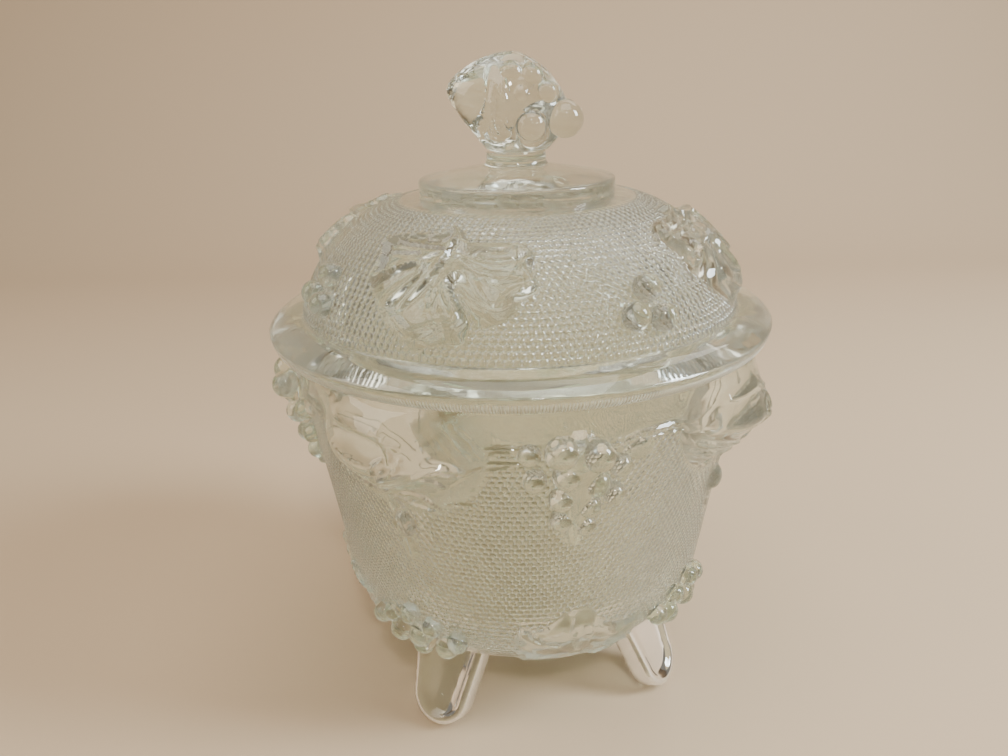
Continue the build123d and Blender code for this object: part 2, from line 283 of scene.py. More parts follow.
def read_off(value, table):
    """A value between the rows of a table."""
    return np.interp(value, *np.transpose(table))


def bump(x, y, centre, reach, height):
    """Height of an oval bump."""
    squares = ((x - centre[0]) / reach[0]) ** 2 + ((y - centre[1]) / reach[1]) ** 2
    return height * np.sqrt(np.clip(1 - squares, 0, 1))


def spun(points, degrees):
    """Points turned about the axis."""
    angle = radians(degrees)
    return points @ np.array([[cos(angle), sin(angle), 0], [-sin(angle), cos(angle), 0], [0, 0, 1]])


def strip(first, low, second, high):
    """Faces between rings of low and of high points, whose counts divide."""
    if low == high:
        return [(first + i, first + (i + 1) % low, second + (i + 1) % low, second + i) for i in range(low)]
    if low > high:
        return [face[::-1] for face in strip(second, high, first, low)]
    share = high // low
    half = share // 2 if low > 1 else share
    faces = []
    for i in range(low):
        here, there = first + i, first + (i + 1) % low
        for j in range(share):
            a, b = (i * share + j) % high, (i * share + j + 1) % high
            faces.append((here if j < half else there, second + b, second + a))
        if low > 1:
            faces.append((here, there, second + (i * share + half) % high))
    return faces


def linked(name, data):
    """An object in the scene."""
    made = bpy.data.objects.new(name, data)
    bpy.context.scene.collection.objects.link(made)
    return made


def new_object(name, points, faces):
    """An object at the origin from points in millimetres."""
    mesh = bpy.data.meshes.new(name)
    mesh.from_pydata(np.asarray(points) * MM, [], faces)
    mesh.validate()
    mesh.shade_smooth()
    return linked(name, mesh)


def lofted(loops):
    """Points and faces through closed loops, capped at both ends."""
    count = len(loops[0])
    faces = []
    for row in range(len(loops) - 1):
        faces += strip(row * count, count, (row + 1) * count, count)
    last = (len(loops) - 1) * count
    faces += [tuple(range(count))[::-1], tuple(range(last, last + count))]
    return np.vstack(loops), faces


# Node code


def arithmetic(operation, reflected=False):
    """A method of Value that adds a Math node."""

    def method(self, other):
        return self.nodes.math(operation, *((other, self) if reflected else (self, other)))

    return method


class Value:
    """An output of a node, whose arithmetic adds Math nodes."""

    def __init__(self, nodes, socket):
        self.nodes, self.socket = nodes, socket

    __add__, __radd__ = arithmetic("ADD"), arithmetic("ADD", True)
    __sub__, __rsub__ = arithmetic("SUBTRACT"), arithmetic("SUBTRACT", True)
    __mul__, __rmul__ = arithmetic("MULTIPLY"), arithmetic("MULTIPLY", True)
    __truediv__, __rtruediv__ = arithmetic("DIVIDE"), arithmetic("DIVIDE", True)
    __gt__ = arithmetic("GREATER_THAN")


class Nodes:
    """The nodes of a material or of a Geometry Nodes tree."""

    def __init__(self, tree):
        self.tree = tree

    def node(self, kind, sockets=None, **settings):
        """Adds a node, with its settings and the values or links of its sockets."""
        made = self.tree.nodes.new(kind)
        for name, setting in settings.items():
            setattr(made, name, setting)
        for key, value in (sockets or {}).items():
            if isinstance(value, Value):
                self.tree.links.new(value.socket, made.inputs[key])
            else:
                made.inputs[key].default_value = value
        return made

    def value(self, kind, sockets=None, output=0, **settings):
        return Value(self, self.node(kind, sockets, **settings).outputs[output])

    def math(self, operation, *values):
        return self.value("ShaderNodeMath", dict(enumerate(values)), operation=operation)

    def around(self, vector):
        """Radius, azimuth and height in millimetres of a place in metres."""
        parts = self.node("ShaderNodeSeparateXYZ", {0: vector})
        x, y, z = (Value(self, part) / MM for part in parts.outputs)
        return self.math("SQRT", x * x + y * y), self.math("ARCTAN2", x, -1 * y), z

    def step(self, value, low, high):
        """A smooth rise from 0 at low to 1 at high."""
        sockets = {"Value": value, "From Min": low, "From Max": high, "To Min": 0.0, "To Max": 1.0}
        return self.value("ShaderNodeMapRange", sockets, interpolation_type="SMOOTHSTEP")


# Row height of a honeycomb, and the fall of a pebble from its middle
HONEYCOMB = 0.84
PEBBLE_FALL = 3.2


def pebbles(nodes, down, turn, row, columns_at):
    """Height, 0 to 1, of pebbles in rows, each shifted by half a pebble."""
    place = down / row
    nearest = nodes.math("ROUND", place)
    height = 0.0
    for line in (nearest, nearest + nodes.math("SIGN", place - nearest)):
        column = turn * columns_at(line) / tau + line * 0.5
        across, along = column - nodes.math("ROUND", column), (place - line) * HONEYCOMB
        cap = 1 - (across * across + along * along) * PEBBLE_FALL
        height = nodes.math("MAXIMUM", cap, height)
    return height


def off_circle(nodes, r, z, centre_r, centre_z, radius):
    """Height of a place off a circle in (r, z)."""
    across, up = r - centre_r, z - centre_z
    return nodes.math("SQRT", across * across + up * up) - radius


def on_ground(nodes, lift):
    """1 on the ground between the motifs, and 0 on the motifs and inside the glass."""
    return nodes.step(lift, 0.5, 0.25) * nodes.step(lift, -2.0, -1.0)


# The bowl


BOWL_PEBBLES = 200
RIM_ROUNDING = 0.9
LEAF_TURN = FOOT_AZIMUTH + 1.8
BUNCH_TURN = -1.4
LOW_LEAF_TURN = 2.0

# Heights where the mesh's rows start, get closer and end
BAND_HEIGHTS = (28.0, 72.8, 92.3)
# Upper bunches: across, below the rim, radius
BUNCH_GRAPES = (
    (-4.2, 9, 3.6), (3, 10.4, 3.6), (-10.2, 10.8, 2.6), (9.2, 15.2, 2.7), (-9, 17, 2.7),
    (-3, 14.9, 3.1), (3.4, 17.6, 3.1), (-3.6, 21.4, 2.8), (2.4, 23.8, 2.8), (8.2, 22.2, 2.6),
    (-3.2, 27.4, 2.6), (2, 29.4, 2.6),
)
# How far across and down the swell of the upper bunches fades out
BUNCH_HALF_WIDTH = 11.0
BUNCH_FADE = 24.0
# The core under a bunch: its drops below the rim and its radii there
CORE_DROPS = (12.0, 34.0)
CORE_RADII = (5.6, 1.9)
# Bunches over the feet: across, above the underside, radius
FOOT_GRAPES = (
    (-13.2, 15, 2.7), (-7.5, 18.5, 2.6), (-1.5, 20.5, 2.7), (4.5, 18.5, 2.6), (10.5, 15, 2.7),
    (-7, 12.6, 3.2), (0, 14.2, 3.2), (6.6, 11.8, 3), (-2.8, 8, 3),
)
FOOT_BUNCH_PROUD = 1.3


class Bowl:
    """Sections and places of the bowl, in millimetres."""

    def __init__(self, sizes):
        self.sizes = s = sizes
        self.slope = (s.rim_radius - s.underside_radius) / (DISH_TOP - s.underside_height)
        lean = atan2(self.slope, 1)
        self.corner_z = s.underside_height + s.corner_radius
        self.corner_r = self.wall_r(self.corner_z) - s.corner_radius / cos(lean)
        inner = s.corner_radius - s.wall
        floor_z = s.underside_height + s.floor
        inner_r = self.wall_r(floor_z + inner) - s.wall - inner / cos(lean)
        self.join_z = self.corner_z - s.corner_radius * sin(lean)
        rim_inner = s.rim_radius - s.wall
        soft = RIM_ROUNDING
        self.outline = Outline(
            (0, s.underside_height),
            arc((self.corner_r, self.corner_z), s.corner_radius, -pi / 2, -lean, 0.2),
            arc((s.rim_radius - soft, DISH_TOP - soft), soft, -lean, pi / 2, 0.2),
            arc((rim_inner + soft, DISH_TOP - soft), soft, pi / 2, pi - lean, 0.2),
            arc((inner_r, floor_z + inner), inner, -lean, -pi / 2, 0.4),
            (0, floor_z),
        )

    def wall_r(self, z):
        return self.sizes.rim_radius - (DISH_TOP - z) * self.slope

    def on_wall(self, across, z, proud):
        """A grape's centre on the wall at the front: azimuth, r and z."""
        return across / self.wall_r(z), self.wall_r(z) + proud, z

    def on_corner(self, across, rise, proud):
        """A grape's centre on the lower corner at the front: azimuth, r and z."""
        z = self.sizes.underside_height + rise
        if z > self.join_z:
            return self.on_wall(across, z, proud)
        angle = np.arccos((self.corner_z - z) / self.sizes.corner_radius)
        reach = self.sizes.corner_radius + proud
        r = self.corner_r + reach * sin(angle)
        return across / r, r, self.corner_z - reach * cos(angle)

    def grapes(self):
        """Centres and radii of all the grapes."""
        placed = []
        for across, drop, radius in BUNCH_GRAPES:
            proud = 1 - max(0, drop - CORE_DROPS[0]) / BUNCH_FADE
            proud *= self.sizes.bunch_swell * (1 - (across / BUNCH_HALF_WIDTH) ** 2)
            placed.append((self.on_wall(across, DISH_TOP - drop, proud), radius, BUNCH_TURN))
        for across, rise, radius in FOOT_GRAPES:
            placed.append((self.on_corner(across, rise, FOOT_BUNCH_PROUD), radius, FOOT_AZIMUTH))
        return repeated_places(placed)

    def relief(self, at):
        """Height of the motifs off the glass."""
        outer = at.along < self.outline.nearest(self.sizes.rim_radius, DISH_TOP - 1)
        across, drop = wrapped(at.azimuth, BUNCH_TURN) * at.r, DISH_TOP - at.z
        vines = VINE_HEIGHT * ridges(across, drop, VINES, VINE_WIDTH) * (np.abs(across) < VINE_REACH)
        bud = bump(across, drop, *BUD) * (1 + BUD_CREASES * np.sin(across * BUD_CREASE_PITCH))
        forms = (self.upper_leaf(at), self.bunch_core(across, drop), vines, bud, self.low_leaf(at))
        return np.where(outer, np.maximum.reduce(forms), 0)

    def stretches(self):
        """Rings of the bowl's mesh, closest on the band of leaves."""
        row, columns = self.sizes.pebble_row, BOWL_PEBBLES * 2
        outer = self.outline.points[: np.argmax(self.outline.points[:, 1]) + 1]

        def rows(low, high, parts):
            """Lengths along the wall at the rows of pebbles and between them."""
            heights = np.arange(low * parts, high * parts + 1) * row / parts
            return np.interp(heights, outer[:, 1], self.outline.along[: len(outer)])

        lowest, leaves, band = (round(height / row) for height in BAND_HEIGHTS)
        corner = self.outline.nearest(self.corner_r, self.sizes.underside_height)
        soft_z = DISH_TOP - RIM_ROUNDING
        rim = self.outline.nearest(self.sizes.rim_radius, soft_z)
        mouth = self.outline.nearest(self.sizes.rim_radius - self.sizes.wall, soft_z)
        floor = self.outline.nearest(30, self.sizes.underside_height + self.sizes.floor)
        return [
            (evenly(0, 12, 3.0), columns // 16),
            (evenly(12, corner, 2.0), columns // 4),
            (evenly(corner, corner + 5, 1.0), columns // 2),
            (evenly(corner + 5, rows(lowest, lowest, 1)[0], 0.95)[:-1], columns),
            (rows(lowest, leaves, 2)[:-1], columns),
            (rows(leaves, band, 3), columns * 2),
            (evenly(rows(band, band, 1)[0], rim, 1.0), columns),
            (evenly(rim, mouth, 0.5), columns // 2),
            (evenly(mouth, floor, 1.6), columns // 4),
            (evenly(floor, self.outline.along[-1], 3.0)[:-1], columns // 16),
        ]

    def upper_leaf(self, at):
        """A leaf that swells to a beak, with folds, a bud under it and a trailing tip."""
        x, drop = wrapped(at.azimuth, LEAF_TURN) * (at.r + LEAF_SPREAD), DISH_TOP - at.z
        away = (x - KEEL_PLACE) / read_off(drop, KEEL_HALF_WIDTHS)
        body = self.sizes.leaf_swell * read_off(drop, KEEL_SHARES)
        body *= np.clip(1 - away**2, 0, 1) ** KEEL_POWER
        edge = LEAF_EDGE * smooth_step(to_outline(x, drop, UPPER_LEAF), -0.5, 2.0)
        folds = FOLD_HEIGHT * ridges(x, drop, UPPER_RIDGES, FOLD_WIDTH)
        tip = TIP_HEIGHT * bell(to_curve(x, drop, UPPER_TIP), TIP_WIDTH)
        return np.maximum.reduce((body + edge + folds, bump(x, drop, *UPPER_BUD), tip))

    def bunch_core(self, across, drop):
        """The swelling that the upper grapes sit on."""
        top, end = CORE_DROPS
        radius = np.interp(drop, CORE_DROPS, CORE_RADII)
        cone = np.where((drop > top) & (drop < end), radius**2 - across**2, 0)
        ball = CORE_RADII[0] ** 2 - across**2 - (drop - top) ** 2
        return np.sqrt(np.maximum(np.maximum(cone, ball), 0))

    def low_leaf(self, at):
        """A thin veined leaf round the lower corner."""
        turn = wrapped(at.azimuth, LOW_LEAF_TURN)
        x, rise = at.r * np.sin(turn), at.z - self.sizes.underside_height
        inside = to_outline(x, rise, LOW_LEAF)
        veins = ridges(x, rise, LOW_VEINS, FOLD_WIDTH, trim=(0.4, 1.1, 0.45))
        height = LOW_LEAF_HEIGHT * (smooth_step(inside, 0, 1.6) + ridges(x, rise, LOW_CURLS, FOLD_WIDTH))
        height -= LOW_VEIN_DEPTH * veins * smooth_step(inside, 0.2, 1.2)
        return np.maximum(height, 0) * (at.r * np.cos(turn) > LOW_LEAF_REACH)


def repeated_places(placed):
    """Points (x, y, z) and radii of grapes round the axis."""
    centres, radii = [], []
    for (azimuth, r, z), radius, turn in placed:
        for i in range(REPEATS):
            angle = azimuth + radians(turn + 360 / REPEATS * i)
            centres.append((r * sin(angle), -r * cos(angle), z))
            radii.append(radius)
    return np.array(centres), np.array(radii)


# Upper leaves: across and below the rim
UPPER_LEAF = rounded((
    (-20, 8), (-12, 4.8), (0, 3.8), (9, 5.5), (14, 9.5), (15.5, 13.5), (11.5, 16.5), (9.5, 19.5),
    (13, 25.5), (8.5, 24.5), (5.5, 30), (0.5, 26.5), (-5, 23), (-10, 25.5), (-14, 21.5), (-19.5, 19),
    (-17, 14.5), (-22.5, 13),
))
# Raised folds on the upper leaves
UPPER_RIDGES = (
    ((-20, 17.5), (-14, 19.5), (-8, 21), (-2, 21.8), (2.5, 24.6), (6, 26), (9.5, 27)),
    ((-18, 15.2), (-12, 17.2), (-6, 18.8), (-0.5, 20.6), (2.2, 22.8), (6.4, 23.8)),
    ((1, 19.5), (0, 24), (1, 28.5), (2.5, 30.5)),
    ((0, 19.5), (4, 17.2), (8, 14.6), (11, 13), (15, 11.4), (17, 12.5), (19, 13.5)),
    ((10, 13.4), (13, 12.8), (15, 12.8), (17, 14.8), (22.5, 14)),
    ((0, 22), (3, 20.2), (7, 19.4), (9, 21.5), (9.8, 25), (11.5, 27)), ((11.5, 14), (13, 15.5), (14, 18)),
    ((2.5, 13.5), (1.6, 12.3), (2.4, 11.2), (3.8, 10.4)), ((1.5, 16.5), (2.2, 14.4), (4, 12.5)),
    ((6, 13), (7, 11.6), (7.5, 10)), ((-13, 5.5), (-7.5, 6), (-2.5, 5.4), (1.5, 6.2), (6.6, 7.6)),
    ((1, 5), (4.5, 7.5), (5.5, 10.2)),
)
# The tip that trails down from the leaf
UPPER_TIP = ((-3, 25), (-1, 30), (0.3, 35), (0.8, 41))
TIP_HEIGHT = 0.8
TIP_WIDTH = 1.9
# Heights of a leaf's edge and folds, and the width of a fold
LEAF_EDGE = 0.2
FOLD_HEIGHT = 0.85
FOLD_WIDTH = 0.5
# The leaf swells to a keel: drop below the rim and share of the swell, drop and half width
KEEL_SHARES = (
    (0.6, 0), (2, 0.2), (4, 0.38), (6, 0.54), (8, 0.68), (10, 0.82), (12, 0.98), (13, 1), (14, 0.95),
    (16, 0.77), (18, 0.62), (20, 0.5), (22, 0.33), (24, 0.16), (26, 0.06), (29, 0),
)
KEEL_HALF_WIDTHS = ((4, 25), (12, 26), (20, 22), (28, 15), (37, 8))
KEEL_PLACE = 0.5
KEEL_POWER = 1.5
# The leaves are drawn a little outside the wall
LEAF_SPREAD = 4.0
# Bumps: their middle, their reaches across and down, and their height
UPPER_BUD = (0.3, 32.4), (3.0, 3.6), 2.8
BUD = (14.4, 12.6), (3.6, 2.7), 1.5
BUD_CREASES = 0.12
BUD_CREASE_PITCH = 7
# Stems: across from the bunch and below the rim
VINES = (
    ((-30, 11.8), (-26.8, 10.3), (-22.5, 9.4), (-16, 9.2), (-8, 10)),
    ((-24, 13.4), (-21.2, 11.8), (-18.3, 10.4), (-14, 10.2)),
    ((-24, 14.4), (-21.3, 13.3), (-18.3, 12.6), (-12.1, 12.8)),
    ((-30, 18), (-25.2, 16.8), (-19.1, 14.7), (-14, 13.8)), ((-29, 24.8), (-24.5, 23.8), (-21, 24)),
    ((-26.5, 21.4), (-21.8, 20)), ((6, 13), (10, 10.4), (13.8, 8.4), (22.6, 8.4), (29, 10)),
    ((8, 14), (13, 10.6), (18, 10.2), (24, 10.6), (30, 12.4)),
)
VINE_REACH = 32.0
VINE_WIDTH = 0.45
VINE_HEIGHT = 0.8
# Lower leaves: across and above the underside
LOW_LEAF = rounded((
    (-14, 23), (-9, 21), (-4.5, 26), (2.3, 27.5), (6, 21), (12, 19.5), (18.5, 17.5), (14, 11), (15, 5),
    (8, 3), (3, -3), (-2, -3), (-8, 3), (-14, 5), (-12, 11), (-17, 17),
))
LOW_VEINS = (
    ((1, 8), (-2, 14), (-3, 24)), ((1, 8), (-5, 13), (-12, 21)), ((1, 8), (-7, 9.5), (-14.5, 15)),
    ((1, 8), (-6, 6), (-12, 6)), ((1, 8), (4, 14), (3, 24)), ((1, 8), (8, 12), (15, 16.5)),
    ((1, 8), (7, 7), (13, 6)),
)
LOW_LEAF_HEIGHT = 0.8
LOW_VEIN_DEPTH = 0.4
LOW_LEAF_REACH = 36.0
LOW_CURLS = (
    ((6, 20), (9, 15), (12, 18.5), (17, 17)), ((4, 13), (8, 10.5), (13, 12), (16, 9)),
    ((5, 7), (9, 5), (13, 6)), ((-14, 21.5), (-10, 17), (-5, 15)), ((-14, 12), (-9, 10.5), (-4, 9)),
    ((-2, 25), (-1, 19), (1, 12)),
)


# Heights between which the bowl's pebbles fade in
BOWL_GROUND_LOW = (26.0, 31.0)
BOWL_GROUND_HIGH = (91.0, 89.5)


def bowl_pebbles(nodes, place, bowl):
    """Height of the pebbles, share of pebbled ground and share of painted highlight on ribs (none on the
    bowl), 0 to 1.
    """
    s = bowl.sizes
    r, turn, z = nodes.around(place)
    cap = pebbles(nodes, z, turn, s.pebble_row, lambda line: BOWL_PEBBLES)
    wall_lift = r - (s.rim_radius - (DISH_TOP - z) * bowl.slope)
    corner_lift = off_circle(nodes, r, z, bowl.corner_r, bowl.corner_z, s.corner_radius)
    on_wall = z > bowl.join_z
    ground = on_ground(nodes, wall_lift * on_wall + corner_lift * (1 - on_wall))
    return cap, ground * nodes.step(z, *BOWL_GROUND_LOW) * nodes.step(z, *BOWL_GROUND_HIGH), 0.0


FOOT_HALF_END = 8.25
FOOT_HALF_TOP = 11.0
FOOT_SPLAY = 24.0
FOOT_PAD_DEPTH = 0.6
# Loops of a foot's skin from the back to the scooped face: inset and depth behind the face
FOOT_SKIN = (
    (3, 6), (1.2, 6), (0.35, 5.65), (0, 4.8), (0, 1), (0.3, 0.35), (1, 0), (1.9, 0.05), (2.6, 0.5),
    (3.4, 1.1), (5, 1.2),
)


def foot_mesh(sizes):
    """The four feet: splayed tongues with round edges and a scooped face."""
    bend = np.linspace(0, pi, 25)
    arc_points = np.stack([FOOT_HALF_END * np.cos(bend), FOOT_HALF_END * (1 - np.sin(bend))], 1)
    top = [(-FOOT_HALF_TOP, sizes.foot_length), (FOOT_HALF_TOP, sizes.foot_length)]
    outline = np.vstack([arc_points, top])
    centre = np.array([0, FOOT_HALF_END])
    tilt = radians(FOOT_SPLAY)
    toe_z = sizes.foot_thickness * sin(tilt) - FOOT_PAD_DEPTH
    loops = []
    for inset, depth in FOOT_SKIN:
        shrunk = outline.copy()
        shrunk[: len(bend)] = centre + (arc_points - centre) * (1 - inset / FOOT_HALF_END)
        shrunk[len(bend):, 0] *= 1 - inset / FOOT_HALF_TOP
        x, up = shrunk.T
        y = -sizes.foot_reach + up * sin(tilt) + depth * cos(tilt)
        z = toe_z + up * cos(tilt) - depth * sin(tilt)
        loops.append(np.stack([x, y, np.maximum(z, 0)], 1))
    points, faces = lofted(loops)
    all_faces = [tuple(index + i * len(points) for index in face) for i in range(REPEATS) for face in faces]
    all_points = [spun(points, FOOT_AZIMUTH + 360 / REPEATS * i) for i in range(REPEATS)]
    return new_object("feet", np.vstack(all_points), all_faces)


# The lid


LID_COLUMNS = 560
# Heights of what stands on the rim: brim, dome, disc and neck
DOME_FOOT_RISE = 7.4
DOME_RISE = 26.2
DISC_THICKNESS = 4.1
NECK_LENGTH = 5.8
# The ring in the bowl's mouth
RING_INNER = 50.5
RING_OUTER = 53.7
RING_FOOT = 96.0
# The brim: gap to the rim, radii where its underside starts and bends, rise of its edge
SEAT_GAP = 0.04
BRIM_START = 56.0
BRIM_BEND = 60.8
EDGE_RISE = 3.9
# Ribs under the brim: their radius and height above the rim
RIBS_AT = (62.0, 1.4)
RIB_HEIGHT = 0.14
RIB_WIDTH = 1.1
# Share of painted highlight, whitish stripes, on the ribs
RIB_HIGHLIGHT = 0.5
LID_LEAF_TURN = -33.7
LID_BUNCH_TURN = 17.8
LID_GRAPES = ((0.8, 29.6, 3.1), (-3.8, 35, 3.1), (3, 36.2, 3.1))


class Dome:
    """Sections and places of the lid, in millimetres."""

    def __init__(self, sizes):
        self.sizes = s = sizes
        self.base_z = DISH_TOP + DOME_FOOT_RISE
        self.disc_z = self.base_z + DOME_RISE
        run, rise = s.dome_radius - s.disc_radius, self.disc_z - self.base_z
        chord = hypot(run, rise)
        self.arc_radius = (chord**2 / 4 + s.dome_bulge**2) / (2 * s.dome_bulge)
        inward = (self.arc_radius - s.dome_bulge) / chord
        self.centre_r = (s.dome_radius + s.disc_radius) / 2 - rise * inward
        self.centre_z = (self.base_z + self.disc_z) / 2 - run * inward
        self.top = atan2(self.disc_z - self.centre_z, s.disc_radius - self.centre_r)
        self.foot = atan2(self.base_z - self.centre_z, s.dome_radius - self.centre_r)
        centre = (self.centre_r, self.centre_z)
        inside = self.arc_radius - s.wall
        low = np.arccos((RING_INNER - self.centre_r) / inside)
        edge_z = self.disc_z + DISC_THICKNESS
        self.neck_z = edge_z + NECK_LENGTH
        seat = DISH_TOP + SEAT_GAP
        edge = (BRIM_REACH - 0.02, DISH_TOP + EDGE_RISE)
        neck = s.neck_radius
        self.outline = Outline(
            (0, self.centre_z + inside),
            arc(centre, inside, pi / 2, low, 0.4),
            [(RING_INNER, RING_FOOT + 0.5), (RING_INNER + 0.5, RING_FOOT)],
            [(RING_OUTER - 0.5, RING_FOOT), (RING_OUTER, RING_FOOT + 0.5)],
            [(RING_OUTER, seat - 0.05), (RING_OUTER + 0.05, seat), (BRIM_START, seat)],
            bulged((BRIM_BEND, seat), edge, 0.7, 0.2),
            bulged(edge, (s.dome_radius + 0.4, self.base_z - 0.1), 1.1),
            (s.dome_radius + 0.1, self.base_z + 0.2),
            arc(centre, self.arc_radius, self.foot, self.top, 0.4),
            (s.disc_radius, self.disc_z + 0.05),
            arc((s.disc_radius - 0.9, edge_z - 0.9), 0.9, 0, radians(80), 0.15),
            [(neck + 0.8, self.neck_z - 3), (neck + 0.1, self.neck_z - 2.2), (neck, self.neck_z - 1)],
            [(neck, self.neck_z - 0.05), (neck - 0.05, self.neck_z), (0, self.neck_z)],
        )
        self.ribs_at = self.outline.nearest(RIBS_AT[0], DISH_TOP + RIBS_AT[1])

    def down(self, r, z):
        """Length down the dome from the disc."""
        across, up = r - self.centre_r, z - self.centre_z
        return (self.top - np.arctan2(up, across)) * self.arc_radius

    def on_dome(self, across, down, proud):
        """A grape's centre on the dome at the front: azimuth, r and z."""
        angle = self.top - down / self.arc_radius
        reach = self.arc_radius + proud
        r = self.centre_r + reach * cos(angle)
        return across / r, r, self.centre_z + reach * sin(angle)

    def grapes(self):
        """Centres and radii of all the grapes, with those of the knob."""
        placed = [(self.on_dome(*place, 1.0), radius, LID_BUNCH_TURN) for *place, radius in LID_GRAPES]
        centres, radii = repeated_places(placed)
        more_centres, more_radii = knob_grapes(self.sizes, self.neck_z)
        return np.vstack([centres, more_centres]), np.concatenate([radii, more_radii])

    def relief(self, at):
        """Height of the leaves and stems off the dome, and of the ribs under the brim."""
        start = self.outline.nearest(self.sizes.dome_radius, self.base_z)
        end = self.outline.nearest(self.sizes.disc_radius, self.disc_z)
        down = self.down(at.r, at.z)
        leaf = lid_leaf(wrapped(at.azimuth, LID_LEAF_TURN) * at.r, down, self.sizes.leaf_thickness)
        across = wrapped(at.azimuth, LID_BUNCH_TURN) * at.r
        stems = STEM_HEIGHT * ridges(across, down, LID_STEMS, STEM_WIDTH)
        on_dome = (at.along > start) & (at.along < end)
        ribs = RIB_HEIGHT * np.cos(at.azimuth * LID_COLUMNS) * bell(at.along - self.ribs_at, RIB_WIDTH)
        return np.where(on_dome, np.maximum(leaf, stems), ribs)

    def stretches(self):
        """Rings of the lid's mesh, closest on the ribs and the dome."""
        s, nearest, ribs = self.sizes, self.outline.nearest, self.ribs_at
        ring = nearest(RING_INNER, 98)
        brim = nearest(60.4, DISH_TOP)
        foot = nearest(s.dome_radius, self.base_z)
        disc = nearest(s.disc_radius, self.disc_z)
        top = nearest(s.disc_radius - 2, self.disc_z + 4.4)
        neck = nearest(s.neck_radius, self.neck_z)
        quarter = LID_COLUMNS // 4
        return [
            (evenly(0, 14, 3.5), quarter // 5),
            (evenly(14, ring, 1.6), quarter),
            (evenly(ring, brim, 0.7), quarter),
            (evenly(brim, ribs - 1.2, 0.5), LID_COLUMNS),
            (evenly(ribs - 1.2, ribs + 1.2, 0.6), LID_COLUMNS * 2),
            (evenly(ribs + 1.2, foot, 0.5), LID_COLUMNS // 2),
            (evenly(foot, disc, 0.47), LID_COLUMNS),
            (evenly(disc, top, 0.3), quarter),
            (evenly(top, neck, 0.8), quarter),
            (evenly(neck, self.outline.along[-1], 1.8)[:-1], quarter // 5),
        ]


# Lid leaves, across and down the dome from the disc: the edge on the dome and the upper edge
LID_LEAF_FOOT = rounded((
    (-1.3, 10), (1.5, 11.5), (3.4, 15.8), (9, 16.2), (15.2, 16), (18.2, 18), (19.2, 20.6), (18.6, 22.8),
    (21, 25.2), (21.6, 27.8), (17.6, 30.2), (17.2, 33.2), (14.8, 34.8), (12.2, 35.4), (9.9, 35.6),
    (9, 37), (8.3, 39), (5.9, 39.7), (3.7, 39), (1.2, 39.6), (-3.2, 41.6), (-5.3, 39), (-8.8, 37.4),
    (-12.6, 34.4), (-14.6, 31.4), (-17.2, 28.8), (-15.9, 25.6), (-16.4, 21.6), (-18, 18.6),
    (-13.2, 14.4), (-5.3, 13.8), (-2.2, 13.6),
), 1)
LID_LEAF_TOP = rounded((
    (-0.9, 11.5), (1.2, 12.8), (3.4, 17), (9, 17.2), (14.6, 17), (17, 18.6), (18.2, 20.8), (17.2, 23),
    (19.4, 25.2), (20.4, 27.4), (16.2, 29), (15.4, 30.8), (13.7, 31.6), (11.3, 31.2), (9.2, 29.4),
    (7.1, 26.5), (5, 24.9), (3.4, 25.1), (2.8, 26.6), (3.9, 28.7), (5.8, 31.2), (7, 33.6), (6.8, 34.6),
    (5.6, 35.6), (3.9, 35.5), (2.2, 36), (0.5, 36.9), (-3.5, 37.9), (-7.3, 35.3), (-10.6, 32.6),
    (-4.2, 25.6), (-3.6, 24.2), (-5.9, 23.2), (-14.6, 28.6), (-16, 27.8), (-14.6, 24.4), (-15.2, 21.8),
    (-16.6, 19), (-12.4, 15.6), (-5.3, 14.8), (-1.8, 14.4),
), 1)
# The slot between two lobes, and its half widths
LID_LEAF_SLOT = ((3.5, 26.2), (4.7, 28.2), (6.7, 30.6), (8.3, 33), (9.1, 35), (9.2, 38))
SLOT_HALF_FOOT = 0.25
SLOT_HALF_TOP = 0.3
# Down the dome and share of the leaf's thickness
LID_LEAF_SHARES = ((8, 0.9 / 2.2), (25, 1), (42, 3.1 / 2.2))
# Heights of the rim and ridges, and depths of the hollow and veins
LID_RIM = 0.85
LID_RIDGE = 0.6
LID_HOLLOW = 0.35
LID_VEIN = 0.5
LID_LEAF_RIDGES = (
    (
        (-5, 24.4), (-5.6, 23.6), (-8.5, 24.6), (-12.4, 27), (-14.4, 29.6), (-12.8, 31), (-9.6, 29.2),
        (-6.6, 26.6), (-5, 24.4),
    ),
    ((-15.4, 30.2), (-16.6, 29.4), (-16.8, 27.9), (-15.6, 27.5), (-14.6, 28.4)),
    ((0.6, 15.6), (0.4, 18.6), (-0.4, 22), (-1.8, 26), (-4.4, 30), (-6.2, 33.6)),
    ((3.4, 22.4), (6.6, 24.6), (10.2, 25.6), (14.4, 26.2), (17.2, 25.8)),
    ((4.6, 17.8), (8.6, 18), (12.8, 17.8)), ((8.8, 29.8), (12.4, 31.4), (15.2, 31.2)),
)
LID_LEAF_VEINS = (
    ((-0.1, 9), (2, 14.5), (1.3, 18), (1, 22), (-0.2, 26.5), (-0.4, 30)),
    ((3.2, 20.4), (6, 22.5), (8.8, 23.8), (11.5, 24.5), (14.6, 24.5)),
    ((6.4, 22.8), (10.1, 26), (12.2, 27.2), (14.5, 28.3)),
    ((2.6, 19), (6.6, 20.4), (11, 21.4), (16.4, 20.6)),
    ((-1.2, 19.8), (-3.9, 21.7), (-7.6, 23.3), (-12.4, 25.4)),
    ((-1, 27.2), (-2.6, 29.9), (-4.9, 32.2), (-6.9, 34.5)),
    ((0.7, 28.5), (0.2, 31.8), (1, 33.7), (3, 35)), ((-0.4, 18.4), (-4, 18.4), (-8.6, 18.6), (-14, 18.6)),
    ((9.4, 18.8), (12.2, 18.8), (16, 18)), ((-5.6, 20.2), (-9.6, 20.9), (-14.8, 21.4)),
    ((-5.4, 16), (-10.4, 16.6), (-13, 16.6)), ((7.6, 29), (10.4, 30.6), (13.2, 30.4)),
)
